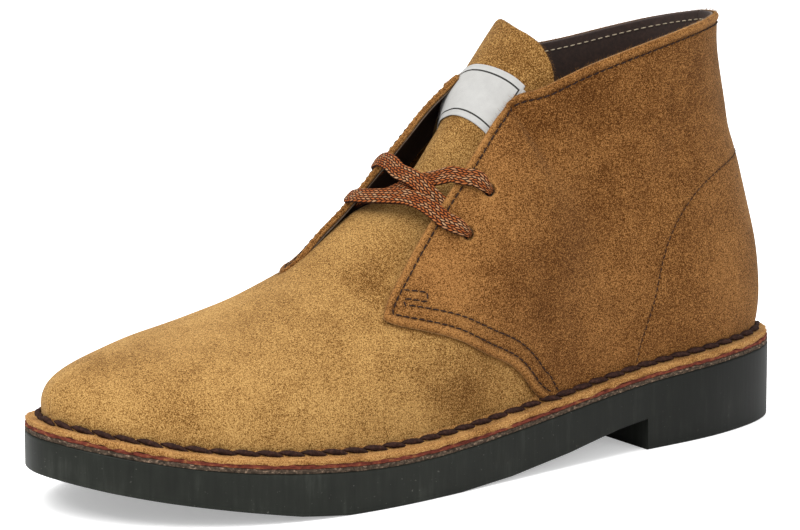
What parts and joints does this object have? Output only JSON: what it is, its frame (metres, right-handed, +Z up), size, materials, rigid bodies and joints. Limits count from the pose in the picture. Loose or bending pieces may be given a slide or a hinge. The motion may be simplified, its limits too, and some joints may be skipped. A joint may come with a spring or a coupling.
{
  "type": "chukka boot",
  "caption": "Left suede chukka boot of stitch-down make, laced through eyelets at an open throat, on a black moulded rubber sole with a heel block",
  "frame": {"origin": "centre of the heel's flat rest, on the floor", "axes": "+Z up, the toe towards -Y, +X towards the outer side of the left foot"},
  "size_m": [0.1063, 0.303, 0.1512],
  "materials": {
    "rubber_black": "matte, faintly brushed up and down",
    "runner_grey_brown": "matte, mottled",
    "midsole_leather": "matte cut edge",
    "insole_leather": "matte",
    "suede_tan": "suede nap, worn lighter at the toe",
    "suede_tongue": "suede nap",
    "label_woven": "fine weave",
    "lace_woven": "flat tubular weave"
  },
  "bodies": {
    "root": {"outsole": "rubber_black", "runner": "runner_grey_brown", "midsole": "midsole_leather", "insole": "insole_leather", "upper": "suede_tan", "tongue": "suede_tongue", "tongue_label": "label_woven", "lace": "lace_woven"}
  },
  "joints": []
}
